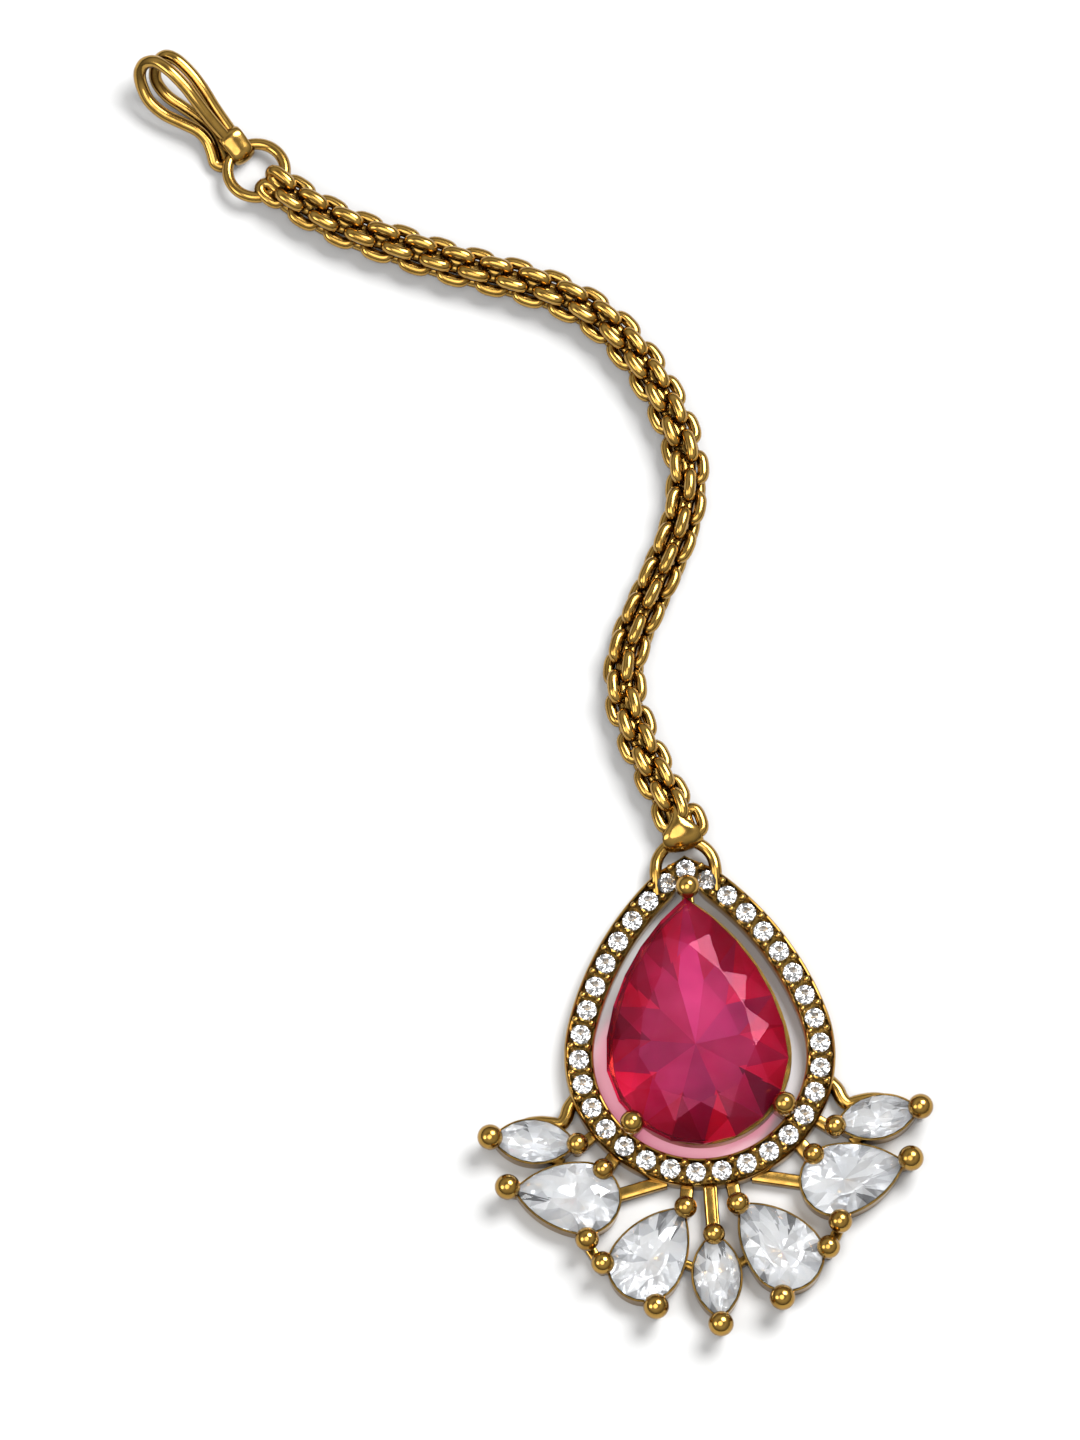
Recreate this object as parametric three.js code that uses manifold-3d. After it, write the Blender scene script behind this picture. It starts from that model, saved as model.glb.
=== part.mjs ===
// A maang tikka lying face up on a table: hook, ring and chain leading down to the pendant.
// The pendant's axis runs along +Y, its back is on z = 0, and its first centre is the halo's round part.
import * as THREE from "three";
import { mergeVertices } from "three/addons/utils/BufferGeometryUtils.js";
import Module from "manifold-3d";

const wasm = await Module();
wasm.setup();

// Sizes in mm
const CLEAR = 0.1; // gap kept round every loose piece

const MAIN_RADIUS = 9; // an 18 x 25 pear
const MAIN_FLANK = MAIN_RADIUS * 2.5;
const MAIN_TURN = 9; // degrees above the middle where the flanks begin
const MAIN_X = -0.35; // set by hand, a little off the halo's axis
const MAIN_Y = -0.25;
const MAIN_GIRDLE_Z = 4.0;
const MAIN_GIRDLE = 0.3;
const MAIN_CROWN = 1.8;
const MAIN_PAVILION = 3.4;
const MAIN_RAIL = 0.7; // wall under the stone
const MAIN_RAIL_LOW = 1.9;
const MAIN_RAIL_TOP = 3.25;
const MAIN_TABLE = 0.66; // share of the outline
const MAIN_GAP = 1.45; // open space between main stone and halo

const HALO_STONES = 33;
const HALO_STONE_RADIUS = 1.025; // a 2 mm round
const HALO_WALL = 0.325;
const HALO_WIDTH = 2 * (HALO_STONE_RADIUS + CLEAR + HALO_WALL);
const HALO_RADIUS = MAIN_RADIUS + MAIN_GAP + HALO_WIDTH / 2; // line through the small stones' centres
const HALO_FLANK = HALO_RADIUS * 2.52;
const HALO_TURN = 17;
const HALO_Y = 0.3;
const HALO_FLOOR = 1.0;
const HALO_RIM = 2.2;
const HALO_GIRDLE_Z = 1.95;
const TIP_SINK = 0.33; // the tip stone sits this far below the centre line's point

const FAN_GIRDLE_Z = 2.3;
const FAN_GIRDLE = 0.2;
const FAN_CROWN = 1.0;
const FAN_PAVILION = 1.5;
const FAN_TABLE = 0.58;
const PEAR_RADIUS = 3.5; // a 10 x 7 pear
const PEAR_FLANK = PEAR_RADIUS * 2.5;
const PEAR_TURN = 3;
const MARQUISE_HALF = 4.0; // an 8 x 4 marquise
const BASKET_INSET = 0.1;
const BASKET_WALL = 0.55;
const BASKET_TOP = 1.78;
const BASKET_TOP_NARROW = 1.6;

const BALL_RADIUS = 1.2;
const BALL_Z = 3.1;
const POST_RADIUS = 0.62;
const MAIN_BALL_Z = 4.9;
const MAIN_BALL_RADIUS = 1.2;
const MAIN_PRONG_TURNS = [-36, 222]; // degrees round the halo's centre
const MAIN_PRONG_OUT = 0.69; // beyond the stone's edge
const STRUT_TOP = 1.3;
const POST_WIDE = 1.25;

const LOOP_RADIUS = 2.95;
const LOOP_WIRE = 1.08;
const LOOP_BELOW_TIP = 1.4; // the loop's centre below the halo's tip
const LOOP_LEG = 2.1;
const LOOP_Z = 1.75;

const BAIL_HALF = 2.05; // inside half length and height
const BAIL_HALF_HIGH = 1.38;
const BAIL_THICK = 0.37;
const BAIL_THICK_HIGH = 0.5;
const BAIL_WIDE = 1.1; // half widths at the loop and at the chain
const BAIL_NARROW = 0.6;
const BAIL_X = -0.35;
const BAIL_Z = 1.9;
const BAIL_TURN = 10;
const BAIL_RISE = 0.5; // share of BAIL_HALF that its middle lies beyond the loop

const CHAIN_WIRE = 1.05;
const CHAIN_WIDTH = 4.0; // between the wires' centres, corner to corner of a link
const CHAIN_STEP = 1.965; // from one link to the next
const CHAIN_Z = (CHAIN_WIDTH / 2) * Math.SQRT1_2 + CHAIN_WIRE / 2;
const CHAIN_BITE = 0.3; // how far linked wires press into each other
const FIRST_ROLL = -15; // degrees the bail's link lies off level; the others stand at 45 to either side
const END_STRETCH = 0.6; // the two end links are longer, to hold the bail and the ring

const RING_RADIUS = 2.85;
const RING_WIRE = 1.1;
const RING_TILT = 6; // degrees, higher at the chain

const HOOK_WIRE = 1.15;
const COLLAR_OUTER = 1.35;
const COLLAR_BORE = 0.8;
const COLLAR_WIDTH = 2.3;
const COLLAR_TURN = 124; // degrees, from the ring's centre to the collar
const SLEEVE = [3.6, 5.1]; // the sleeve over the strands' ends, out from the ring's centre
const SLEEVE_LOW = 1.8;
const SLEEVE_TOP = 3.2;

// The fan's settings, right half. angle and out place a stone's centre round the halo's centre, out as a
// share of HALO_RADIUS. tip is the pointed end's direction in degrees. prongs are ball centres, across and
// along the stone, as shares of a pear's radius or a marquise's half length.
const FAN = [
  { name: "marquise_side", shape: "marquise", angle: -24.2, out: 1.557, tip: 8, slim: 0.525, long: 1,
    prongs: [[0.02, 1.08], [0.05, -1.07]] },
  { name: "pear_upper", shape: "pear", angle: -47.7, out: 1.556, tip: 11,
    prongs: [[-0.01, 2.15], [-0.84, -0.45], [1.22, -0.24]] },
  { name: "pear_lower", shape: "pear", angle: -71.5, out: 1.852, tip: 126.5,
    prongs: [[-0.1, 1.98], [1, -0.62], [-0.93, -0.88]] },
];
const FAN_CENTRE = { shape: "marquise", angle: -90, out: 1.887, tip: 90, slim: 0.555, long: 1.0375,
  prongs: [[0, 0.97], [0, -1.22]] };

// Bars from the halo to a setting, right half: the angle they leave the halo at, the setting's row, and
// where they end in its own shares
const ARMS = [
  { angle: -17.7, row: 0, end: [-0.39, -0.27], wide: 1.1 },
  { angle: -33, row: 0, end: [0.05, -1.07], wide: 1.2 },
  { angle: -46, row: 1, end: [-0.84, -0.45], wide: 1.2 },
  { angle: -70.7, row: 1, end: [-0.2, -0.75], wide: 1.2 },
  { angle: -80.3, row: 2, end: [-0.1, 1.98], wide: 1.2 },
];

// Short bars between neighbouring settings, right half; row 3 is the centre marquise
const LINKS = [
  { rows: [1, 2], ends: [[1.22, -0.24], [1, -0.62]], wide: 1.1 },
  { rows: [0, 1], ends: [[0.3, -0.7], [-0.59, 1.02]], wide: 0.9 },
  { rows: [3, 2], ends: [[0.46, 0.28], [-0.6, 0.68]], wide: 0.9 },
];

// Where the chain lies, from the bail to the ring, measured from the top of the pendant's loop
const ROUTE = [
  [-0.58, 2.35], [-1.05, 3.95], [-2.1, 6.45], [-3.1, 8.95], [-3.9, 11.45], [-4.45, 14.05],
  [-4.6, 16.45], [-4.2, 18.95], [-3.25, 21.45], [-1.95, 23.95], [-0.6, 26.45], [0.75, 29.05],
  [2, 31.75], [2.95, 35.15], [3.15, 38.85], [2.3, 42.65], [0.9, 46.25], [-0.95, 49.65],
  [-3.2, 52.75], [-6.1, 55.25], [-9.3, 57.05], [-12.9, 58.55], [-16.6, 59.85], [-20.3, 61.25],
  [-24, 62.85], [-27.5, 64.45], [-30.8, 66.35], [-34, 68.75], [-36, 70.65],
];
const RING_FROM_CHAIN = [-1.1, 1.0]; // the ring's centre from the route's end
const RING_Z = 1.75;

// The hook's wire from the ring's centre: out along the front strand, round the bend and back to the tip,
// then the rear strand home
const HOOK_PATH = [
  [-2.75, 3.4, 2.55], [-4.15, 5, 3.75], [-5.45, 6.7, 4.8], [-6.5, 8.15, 5.45],
  [-7.9, 9.75, 5.8], [-9.2, 10.85, 5.5], [-10.3, 11, 4.7], [-10.85, 10.35, 3.8],
  [-10.75, 9.3, 2.9], [-10.1, 7.8, 2.25], [-8.75, 6.45, 1.95], [-7, 5.4, 1.9],
  [-5.5, 4.5, 1.8], [-4.65, 3.5, 1.5], [-4.25, 2.3, 1.15], [-4, 1.3, 0.85],
  [-3.25, 0.95, 0.7], [-2.85, 1.6, 0.62], [-3.25, 2.9, 0.6], [-4.1, 4.7, 0.62],
  [-5.4, 6.2, 0.68], [-6.85, 7.4, 0.75], [-8.1, 8.35, 1.05], [-8.95, 9.3, 1.65],
  [-9.35, 10.2, 2.45], [-9.1, 11.2, 3.5], [-8.3, 11.7, 4.4], [-7.2, 11.2, 4.75],
  [-5.85, 9.8, 4.45], [-4.75, 8.2, 3.95], [-3.65, 6.3, 3.1], [-2.2, 4.05, 2.1],
];

const GOLD = { color: 0xb0852b, roughness: 0.3, metalness: 1 };
const CLEAR_STONE = { color: 0xf2f4f6, roughness: 0.05, metalness: 0 };
const RED_STONE = { color: 0xb0124a, roughness: 0.05, metalness: 0 };

const RAD = Math.PI / 180;

function solidOf(geometry) {
  const bare = geometry.clone();
  bare.deleteAttribute("normal");
  bare.deleteAttribute("uv");
  const merged = mergeVertices(bare, 1e-4);
  return new wasm.Manifold(
    new wasm.Mesh({
      numProp: 3,
      vertProperties: new Float32Array(merged.attributes.position.array),
      triVerts: new Uint32Array(merged.index.array),
    }),
  );
}

function geometryOf(solid) {
  const mesh = solid.getMesh();
  const geometry = new THREE.BufferGeometry()
    .setAttribute("position", new THREE.BufferAttribute(mesh.vertProperties, 3))
    .setIndex(new THREE.BufferAttribute(mesh.triVerts, 1))
    .toNonIndexed();
  geometry.computeVertexNormals();
  return geometry;
}

const joined = (solids) => solids.reduce((sum, next) => sum.add(next));

// A point at length s along the right side of a pear, from its bottom to its tip. Its round part's centre
// is 0, 0.
function pearPoint(pear, offset, s) {
  const round = pear.radius + offset;
  const flank = pear.flank + offset;
  const centre = [
    -(pear.flank - pear.radius) * Math.cos(pear.turn * RAD),
    -(pear.flank - pear.radius) * Math.sin(pear.turn * RAD),
  ];
  const roundLength = round * (pear.turn + 90) * RAD;
  if (s <= roundLength) {
    const angle = -Math.PI / 2 + s / round;
    return [round * Math.cos(angle), round * Math.sin(angle)];
  }
  const tipAngle = Math.acos(-centre[0] / (offset > 0 ? pear.flank : flank));
  const flankLength = flank * (tipAngle - pear.turn * RAD);
  if (s <= roundLength + flankLength) {
    const angle = pear.turn * RAD + (s - roundLength) / flank;
    return [centre[0] + flank * Math.cos(angle), centre[1] + flank * Math.sin(angle)];
  }
  const tip = centre[1] + pear.flank * Math.sin(tipAngle);
  const angle = Math.min(tipAngle + (s - roundLength - flankLength) / offset, Math.PI / 2);
  return [offset * Math.cos(angle), tip + offset * Math.sin(angle)];
}

function pearLength(pear, offset) {
  const flank = pear.flank + offset;
  const reach = (pear.flank - pear.radius) * Math.cos(pear.turn * RAD);
  const tipAngle = Math.acos(reach / (offset > 0 ? pear.flank : flank));
  const cap = offset > 0 ? offset * (Math.PI / 2 - tipAngle) : 0;
  return (pear.radius + offset) * (pear.turn + 90) * RAD + flank * (tipAngle - pear.turn * RAD) + cap;
}

// count points round a pear, anticlockwise from the bottom
function pearOutline(pear, offset, count) {
  const half = count / 2;
  const step = pearLength(pear, offset) / half;
  const right = Array.from({ length: half + 1 }, (_, i) => pearPoint(pear, offset, i * step));
  right[0] = [0, right[0][1]];
  right[half] = [0, right[half][1]];
  const left = right.slice(1, half).reverse().map(([x, y]) => [-x, y]);
  return [...right, ...left];
}

// count points round a marquise whose tips lie on the Y axis, anticlockwise from the lower tip
function marquiseOutline(long, wide, offset, count) {
  const a = long / 2;
  const b = wide / 2;
  const radius = (a * a + b * b) / (2 * b) + offset;
  const back = (a * a - b * b) / (2 * b);
  const reach = Math.acos(back / radius);
  const half = count / 2;
  const right = Array.from({ length: half }, (_, i) => {
    const angle = -reach + (2 * reach * i) / half;
    return [i === 0 ? 0 : radius * Math.cos(angle) - back, radius * Math.sin(angle)];
  });
  return [...right, ...right.map(([x, y]) => [-x, -y])];
}

const shifted = (points, x, y, turn = 0) =>
  points.map(([px, py]) => [
    x + px * Math.cos(turn * RAD) - py * Math.sin(turn * RAD),
    y + px * Math.sin(turn * RAD) + py * Math.cos(turn * RAD),
  ]);

// A flat plate between two heights, with an optional opening
function plate(outer, opening, low, high) {
  const shape = new THREE.Shape(outer.map(([x, y]) => new THREE.Vector2(x, y)));
  if (opening) shape.holes.push(new THREE.Path(opening.map(([x, y]) => new THREE.Vector2(x, y))));
  const geometry = new THREE.ExtrudeGeometry(shape, { depth: high - low, bevelEnabled: false });
  return solidOf(geometry.translate(0, 0, low));
}

function bar(from, to, wide, low, high) {
  const long = Math.hypot(to[0] - from[0], to[1] - from[1]);
  const geometry = new THREE.BoxGeometry(long, wide, high - low);
  geometry.rotateZ(Math.atan2(to[1] - from[1], to[0] - from[0]));
  return solidOf(geometry.translate((from[0] + to[0]) / 2, (from[1] + to[1]) / 2, (low + high) / 2));
}

function rod(from, to, radius, sides) {
  const start = new THREE.Vector3(...from);
  const along = new THREE.Vector3(...to).sub(start);
  const geometry = new THREE.CylinderGeometry(radius, radius, along.length(), sides);
  const turn = new THREE.Quaternion().setFromUnitVectors(
    new THREE.Vector3(0, 1, 0),
    along.clone().normalize(),
  );
  const middle = start.addScaledVector(along, 0.5);
  return solidOf(geometry.applyQuaternion(turn).translate(middle.x, middle.y, middle.z));
}

function ball(x, y, z, radius) {
  return solidOf(new THREE.SphereGeometry(radius, 10, 5).rotateX(Math.PI / 2).translate(x, y, z));
}

// A round wire along smoothly joined points
function wire(points, thick, steps, sides) {
  const path = new THREE.CatmullRomCurve3(points.map((p) => new THREE.Vector3(...p)));
  const round = new THREE.Shape(
    Array.from({ length: sides }, (_, i) => {
      const angle = (2 * Math.PI * i) / sides;
      return new THREE.Vector2((thick / 2) * Math.cos(angle), (thick / 2) * Math.sin(angle));
    }),
  );
  return solidOf(new THREE.ExtrudeGeometry(round, { steps, extrudePath: path, bevelEnabled: false }));
}

// A cut stone: table, star, kite and upper facets over a girdle, and a pavilion below. outline has an even
// count.
function cutStone(outline, centre, cut, grow) {
  const n = outline.length;
  const size = Math.min(...outline.map(([x, y]) => Math.hypot(x - centre[0], y - centre[1])));
  const spread = 1 + grow / size;
  const v = [];
  const put = ([x, y], share, z) =>
    v.push(centre[0] + (x - centre[0]) * share * spread, centre[1] + (y - centre[1]) * share * spread, z);
  const low = cut.girdleZ - cut.girdle / 2 - grow;
  const high = cut.girdleZ + cut.girdle / 2 + grow;
  const shoulder = (1 + cut.table) / 2 + 0.02;
  outline.forEach((p) => put(p, 1, low));
  outline.forEach((p) => put(p, 1, high));
  for (let k = 1; k < n; k += 2) put(outline[k], shoulder, high + cut.crown * 0.62);
  for (let k = 0; k < n; k += 2) put(outline[k], cut.table, high + cut.crown);
  v.push(centre[0], centre[1], cut.girdleZ - cut.girdle / 2 - cut.pavilion - grow);
  const m = 2 * n;
  const t = m + n / 2;
  const culet = t + n / 2;
  const f = [];
  for (let j = 0; j < n; j++) {
    const next = (j + 1) % n;
    f.push(culet, next, j, j, next, n + next, j, n + next, n + j);
  }
  for (let k = 0; k < n / 2; k++) {
    const g = 2 * k;
    const after = (g + 2) % n;
    const before = (k + n / 2 - 1) % (n / 2);
    const beside = (k + 1) % (n / 2);
    f.push(n + g, n + g + 1, m + k, n + g + 1, n + after, m + k);
    f.push(n + g, m + k, t + k, n + g, t + k, m + before);
    f.push(m + k, t + beside, t + k);
    if (k > 1) f.push(t, t + k - 1, t + k);
  }
  const geometry = new THREE.BufferGeometry();
  geometry.setAttribute("position", new THREE.Float32BufferAttribute(v, 3));
  geometry.setIndex(f);
  return geometry;
}

const MAIN = { radius: MAIN_RADIUS, flank: MAIN_FLANK, turn: MAIN_TURN };
const HALO = { radius: HALO_RADIUS, flank: HALO_FLANK, turn: HALO_TURN };
const PEAR = { radius: PEAR_RADIUS, flank: PEAR_FLANK, turn: PEAR_TURN };

const mainOutline = (offset, count) => shifted(pearOutline(MAIN, offset, count), MAIN_X, MAIN_Y);

// Heights of the tip stone's centre and of the halo's blunted tip
const TIP_STONE_Y = HALO_Y + pearPoint(HALO, 0, pearLength(HALO, 0))[1] - TIP_SINK;
const HALO_TIP = TIP_STONE_Y + HALO_STONE_RADIUS + CLEAR + HALO_WALL;
const LOOP_Y = HALO_TIP - LOOP_BELOW_TIP;
const LOOP_TOP = LOOP_Y + LOOP_RADIUS;
const MAIN_TIP_Y = MAIN_Y + pearPoint(MAIN, 0, pearLength(MAIN, 0))[1];

// The halo's outline at an offset from its centre line, cut off level at the tip
function haloOutline(offset, count, tip = HALO_TIP) {
  const points = shifted(pearOutline(HALO, offset, count), 0, HALO_Y);
  if (points[count / 2][1] <= tip) return points;
  const back = (HALO_FLANK - HALO_RADIUS) * Math.cos(HALO_TURN * RAD);
  const low = HALO_Y - (HALO_FLANK - HALO_RADIUS) * Math.sin(HALO_TURN * RAD);
  const x = Math.sqrt((HALO_FLANK + offset) ** 2 - (tip - low) ** 2) - back;
  const kept = points.map((point, i) => [point, i]).filter(([[, y]]) => y < tip - 0.3);
  const right = kept.filter(([, i]) => i < count / 2).map(([point]) => point);
  const left = kept.filter(([, i]) => i > count / 2).map(([point]) => point);
  return [...right, [x, tip], [-x, tip], ...left];
}

function mainStone(grow = 0) {
  const cut = {
    table: MAIN_TABLE,
    girdleZ: MAIN_GIRDLE_Z,
    girdle: MAIN_GIRDLE,
    crown: MAIN_CROWN,
    pavilion: MAIN_PAVILION,
  };
  return cutStone(mainOutline(0, 24), [MAIN_X, MAIN_Y + MAIN_RADIUS * 0.178], cut, grow);
}

// A setting's centre, its unit of length, and a spot given across and along it in that unit
const centreOf = (row) => {
  const reach = HALO_RADIUS * row.out;
  const x = reach * Math.cos(row.angle * RAD);
  return [row.flip ? -x : x, HALO_Y + reach * Math.sin(row.angle * RAD)];
};
const halfOf = (row) => (row.shape === "pear" ? PEAR_RADIUS : MARQUISE_HALF * row.long);
const spotOn = (row, [across, along]) => {
  const spot = [(row.flip ? -across : across) * halfOf(row), along * halfOf(row)];
  return shifted([spot], ...centreOf(row), row.tip - 90)[0];
};

function fanOutline(row, offset, count) {
  const own =
    row.shape === "pear"
      ? pearOutline(PEAR, offset, count)
      : marquiseOutline(2 * halfOf(row), 2 * halfOf(row) * row.slim, offset, count);
  return shifted(own, ...centreOf(row), row.tip - 90);
}

function fanStone(row, grow = 0) {
  const centre = spotOn(row, [0, row.shape === "pear" ? 0.2 : 0]); // a pear's facets close nearer the tip
  const cut = {
    table: FAN_TABLE,
    girdleZ: FAN_GIRDLE_Z,
    girdle: FAN_GIRDLE,
    crown: FAN_CROWN,
    pavilion: FAN_PAVILION,
  };
  return cutStone(fanOutline(row, 0, row.shape === "pear" ? 16 : 12), centre, cut, grow);
}

// A 2 mm round, turned from a profile with eight flats
function haloStone(grow = 0) {
  const r = HALO_STONE_RADIUS + grow;
  const profile = [
    [0, -0.85 - grow],
    [r, 0],
    [r * 0.56, 0.4 + grow],
    [0, 0.4 + grow],
  ].map(([x, y]) => new THREE.Vector2(x, y));
  return new THREE.LatheGeometry(profile, 8).rotateX(Math.PI / 2);
}

// Places of the small stones, evenly along the halo's centre line with one at the tip
function haloPlaces() {
  const whole = 2 * pearLength(HALO, 0);
  return Array.from({ length: HALO_STONES }, (_, i) => {
    const s = ((i + 0.5) * whole) / HALO_STONES;
    const right = s <= whole / 2;
    const [x, y] = pearPoint(HALO, 0, right ? s : whole - s);
    return [right ? x : -x, Math.min(y + HALO_Y, TIP_STONE_Y)];
  });
}

const flipped = ([x, y]) => [-x, y];

function haloBand() {
  const half = HALO_WIDTH / 2;
  const bed = HALO_STONE_RADIUS + CLEAR;
  const [outer, inner, wallIn] = [half, -half, -bed].map((offset) => haloOutline(offset, 36));
  const wallOut = haloOutline(bed, 36, HALO_TIP - HALO_WALL);
  return joined([
    plate(outer, inner, 0, HALO_FLOOR),
    plate(outer, wallOut, 0, HALO_RIM),
    plate(wallIn, inner, 0, HALO_RIM),
  ]);
}

function pendantLoop() {
  const points = [[LOOP_RADIUS, -LOOP_LEG]];
  for (let a = 0; a <= 180; a += 30) {
    points.push([LOOP_RADIUS * Math.cos(a * RAD), LOOP_RADIUS * Math.sin(a * RAD)]);
  }
  points.push([-LOOP_RADIUS, -LOOP_LEG]);
  const low = LOOP_Z - LOOP_WIRE / 2;
  return wire(points.map(([x, y]) => [x, LOOP_Y + y, y < 0 ? low : LOOP_Z]), LOOP_WIRE, 12, 8);
}

// The main stone's rail, its two lower prongs and the claw at its tip
function mainBasket() {
  const inset = MAIN_RAIL * 0.7;
  const inner = mainOutline(-inset - MAIN_RAIL, 24);
  const rail = plate(mainOutline(-inset, 24), inner, MAIN_RAIL_LOW, MAIN_RAIL_TOP);
  const pieces = [rail];
  for (const turn of MAIN_PRONG_TURNS) {
    const spot = (out) => [
      (MAIN_RADIUS + out) * Math.cos(turn * RAD),
      MAIN_Y + (MAIN_RADIUS + out) * Math.sin(turn * RAD),
    ];
    pieces.push(pin(...spot(MAIN_PRONG_OUT), MAIN_BALL_Z, MAIN_BALL_RADIUS));
    const [from, to] = [spot(-MAIN_RAIL), spot(MAIN_GAP - HALO_WALL / 2)];
    pieces.push(bar(from, to, 2 * POST_RADIUS, 0.5, MAIN_RAIL_LOW + 0.7));
  }
  const top = MAIN_TIP_Y + MAIN_PRONG_OUT * 1.4;
  const rise = MAIN_BALL_Z - 0.6;
  pieces.push(rod([0, top + rise * 0.23, 0.6], [0, top, MAIN_BALL_Z], POST_RADIUS * 1.2, 6));
  const [from, to] = [[0, top - 3.7 * MAIN_RAIL], [0, top + 1.2]];
  pieces.push(bar(from, to, 2.2 * POST_RADIUS, MAIN_RAIL_LOW, MAIN_RAIL_LOW + 1));
  pieces.push(ball(0, top, MAIN_BALL_Z, MAIN_BALL_RADIUS));
  return joined(pieces);
}

function fanBasket(row) {
  const count = row.shape === "pear" ? 16 : 12;
  const high = row.shape === "pear" ? BASKET_TOP : BASKET_TOP_NARROW;
  const outer = fanOutline(row, -BASKET_INSET, count);
  return plate(outer, fanOutline(row, -BASKET_INSET - BASKET_WALL, count), 0, high);
}

// A ball on its post
function pin(x, y, z, radius) {
  const profile = [new THREE.Vector2(0, 0), new THREE.Vector2(POST_RADIUS, 0)];
  for (const angle of [-48, 0, 45, 90]) {
    const out = angle === 90 ? 0 : radius * Math.cos(angle * RAD);
    profile.push(new THREE.Vector2(out, z + radius * Math.sin(angle * RAD)));
  }
  return solidOf(new THREE.LatheGeometry(profile, 10).rotateX(Math.PI / 2).translate(x, y, 0));
}

// A setting's prongs, each with a toe that reaches its wall
function fanProngs(row) {
  const edge = fanOutline(row, -BASKET_INSET - BASKET_WALL / 2, 24);
  const pieces = row.prongs.map((shares) => {
    const spot = spotOn(row, shares);
    const away = ([x, y]) => Math.hypot(x - spot[0], y - spot[1]);
    const toe = edge.reduce((best, point) => (away(point) < away(best) ? point : best));
    return pin(...spot, BALL_Z, BALL_RADIUS).add(bar(spot, toe, 1.5 * POST_RADIUS, 0, STRUT_TOP));
  });
  return joined(pieces);
}

const centreRow = { ...FAN_CENTRE, name: "marquise_centre" };
const rightRows = [...FAN.map((row) => ({ ...row, name: row.name + "_right" })), centreRow];
const leftRows = FAN.map((row) => ({ ...row, name: row.name + "_left", flip: true, tip: 180 - row.tip }));
const fanRows = [...rightRows, ...leftRows];

// The bars of both halves, from the halo to the settings and between them
function struts() {
  const onHalo = (angle, out = 0) => [
    (HALO_RADIUS + out) * Math.cos(angle * RAD),
    HALO_Y + (HALO_RADIUS + out) * Math.sin(angle * RAD),
  ];
  const leave = HALO_WIDTH / 2 - HALO_WALL;
  const runs = [
    ...ARMS.map(({ angle, row, end, wide }) => [onHalo(angle, leave), spotOn(rightRows[row], end), wide]),
    ...LINKS.map(({ rows, ends, wide }) => [
      spotOn(rightRows[rows[0]], ends[0]),
      spotOn(rightRows[rows[1]], ends[1]),
      wide,
    ]),
  ];
  const foot = spotOn(centreRow, FAN_CENTRE.prongs[0]);
  const post = bar(onHalo(-90, leave), foot, POST_WIDE, 0, STRUT_TOP + 0.4);
  return joined([
    post,
    ...runs.map(([from, to, wide]) => bar(from, to, wide, 0, STRUT_TOP)),
    ...runs.map(([from, to, wide]) => bar(flipped(from), flipped(to), wide, 0, STRUT_TOP)),
  ]);
}

function pendantFrame() {
  const metal = joined([
    haloBand(),
    pendantLoop(),
    mainBasket(),
    struts(),
    ...fanRows.map(fanBasket),
    ...fanRows.map(fanProngs),
  ]);
  const atClaw = haloPlaces().filter(([, y]) => y > TIP_STONE_Y - 3 * HALO_STONE_RADIUS);
  const seats = [
    mainStone(CLEAR),
    ...fanRows.map((row) => fanStone(row, CLEAR)),
    ...atClaw.map(([x, y]) => haloStone(CLEAR).translate(x, y, HALO_GIRDLE_Z)),
  ];
  return seats.reduce((rest, seat) => rest.subtract(solidOf(seat)), metal);
}

// A chain link: a ring of wire, drawn out to half lengths along X and Y
function link(halfLong, halfWide, thick, around, sides) {
  const geometry = new THREE.TorusGeometry(halfWide, thick / 2, sides, around);
  const at = geometry.attributes.position;
  for (let i = 0; i < at.count; i++) {
    const angle = Math.atan2(at.getY(i), at.getX(i));
    at.setX(i, at.getX(i) + (halfLong - halfWide) * Math.cos(angle));
  }
  return geometry;
}

function chain() {
  const laidOut = ROUTE.map(([x, y]) => new THREE.Vector3(x, LOOP_TOP + y, CHAIN_Z));
  const route = new THREE.CatmullRomCurve3(laidOut);
  route.arcLengthDivisions = 800;
  const long = route.getLength();
  const half = (CHAIN_STEP + CHAIN_WIRE - CHAIN_BITE) / 2;
  const count = Math.round((long - 2 * (half + END_STRETCH)) / CHAIN_STEP) + 1;
  const step = (long - 2 * (half + END_STRETCH)) / (count - 1);
  const up = new THREE.Vector3(0, 0, 1);
  return joined(
    Array.from({ length: count }, (_, i) => {
      const end = i === 0 ? -1 : i === count - 1 ? 1 : 0;
      const middle = half + END_STRETCH + i * step + (end * END_STRETCH) / 2;
      const spot = route.getPointAt(middle / long);
      const along = route.getTangentAt(middle / long);
      const side = new THREE.Vector3().crossVectors(up, along);
      const roll = (i === 0 ? FIRST_ROLL : i % 2 ? 45 : -45) * RAD;
      const across = side.multiplyScalar(Math.cos(roll)).addScaledVector(up, Math.sin(roll));
      const out = new THREE.Vector3().crossVectors(along, across);
      const place = new THREE.Matrix4().makeBasis(along, across, out).setPosition(spot);
      const halfLong = half + (Math.abs(end) * END_STRETCH) / 2;
      return solidOf(link(halfLong, CHAIN_WIDTH / 2, CHAIN_WIRE, 10, 5).applyMatrix4(place));
    }),
  );
}

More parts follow.
